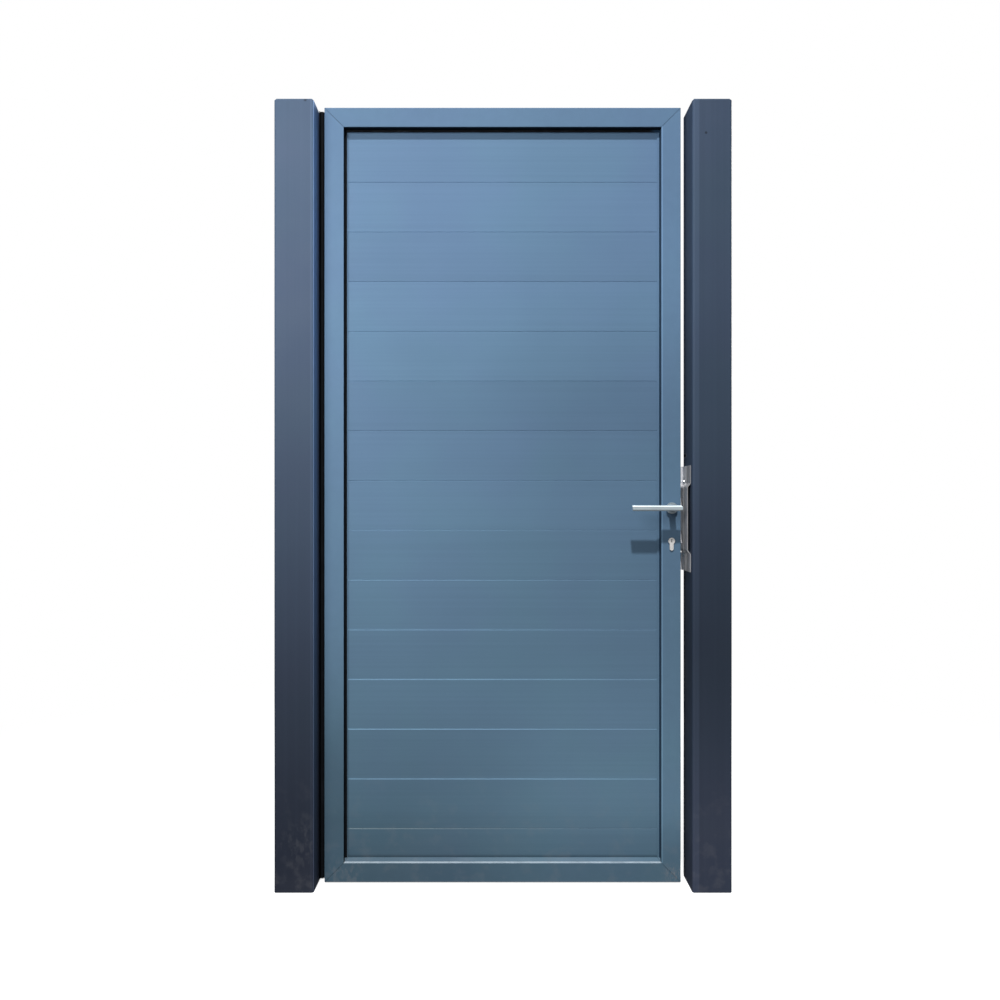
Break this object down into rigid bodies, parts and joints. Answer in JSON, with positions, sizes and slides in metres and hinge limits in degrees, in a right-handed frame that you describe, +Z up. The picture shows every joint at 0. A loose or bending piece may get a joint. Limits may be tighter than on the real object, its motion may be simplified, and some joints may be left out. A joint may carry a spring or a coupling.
{
  "type": "single-leaf aluminium garden gate with boarded infill, between two square posts",
  "caption": "Blue-grey aluminium garden gate with a mitred frame, horizontal tongue-and-groove boards, lever handle and dark square posts",
  "frame": {"origin": "centre of the hinge post's foot, on the ground", "axes": "+X along the gate from the hinge post to the latch post, +Y away from the front side, +Z up"},
  "size_m": [1.156, 0.154, 2.005],
  "materials": {
    "post_coating": "satin powder coat, dark slate",
    "frame_coating": "matte powder coat, blue grey",
    "board_coating": "matte powder coat, blue grey",
    "hinge_coating": "satin powder coat, dark slate",
    "hinge_pin_steel": "satin steel",
    "stainless_steel": "satin brushed stainless steel",
    "lock_case_steel": "matte zinc plate",
    "cylinder_nickel": "satin nickel plate",
    "lever_satin": "satin anodised aluminium",
    "seal_rubber": "matte black rubber"
  },
  "bodies": {
    "posts": {"hinge_post": "post_coating", "hinge_post_cap": "post_coating", "latch_post": "post_coating", "latch_post_cap": "post_coating", "latch_keep": "stainless_steel", "hinge_gap_seal": "seal_rubber", "hinge_top_post_half": "hinge_coating", "hinge_middle_post_half": "hinge_coating", "hinge_bottom_post_half": "hinge_coating", "hinge_top_pin": "hinge_pin_steel", "hinge_middle_pin": "hinge_pin_steel", "hinge_bottom_pin": "hinge_pin_steel"},
    "leaf": {"hinge_stile": "frame_coating", "lock_stile": "frame_coating", "top_rail": "frame_coating", "bottom_rail": "frame_coating", "board_01": "board_coating", "board_02": "board_coating", "board_03": "board_coating", "board_04": "board_coating", "board_05": "board_coating", "board_06": "board_coating", "board_07": "board_coating", "board_08": "board_coating", "board_09": "board_coating", "board_10": "board_coating", "board_11": "board_coating", "board_12": "board_coating", "board_13": "board_coating", "board_14": "board_coating", "closing_board": "board_coating", "hinge_top_leaf_half": "hinge_coating", "hinge_middle_leaf_half": "hinge_coating", "hinge_bottom_leaf_half": "hinge_coating", "lock_forend": "stainless_steel", "latch_bolt": "stainless_steel", "dead_bolt": "stainless_steel", "lock_case": "lock_case_steel", "cylinder_body": "cylinder_nickel", "cylinder_plugs": "cylinder_nickel", "rose_front": "lever_satin", "rose_back": "lever_satin"},
    "lever": {"lever_front": "lever_satin", "lever_back": "lever_satin", "lever_spindle": "lock_case_steel"}
  },
  "joints": [
    {"name": "leaf_swing", "type": "hinge", "parent": "posts", "child": "leaf", "pos_m": [0.0585, 0.058, 1.004], "axis": [0, 0, 1], "range_deg": [0, 110]},
    {"name": "lever_turn", "type": "hinge", "parent": "leaf", "child": "lever", "pos_m": [0.964, 0.025, 0.97], "axis": [0, -1, 0], "range_deg": [0, 45], "stiffness_Nm_per_rad": 1, "springref_deg": -28.65}
  ]
}
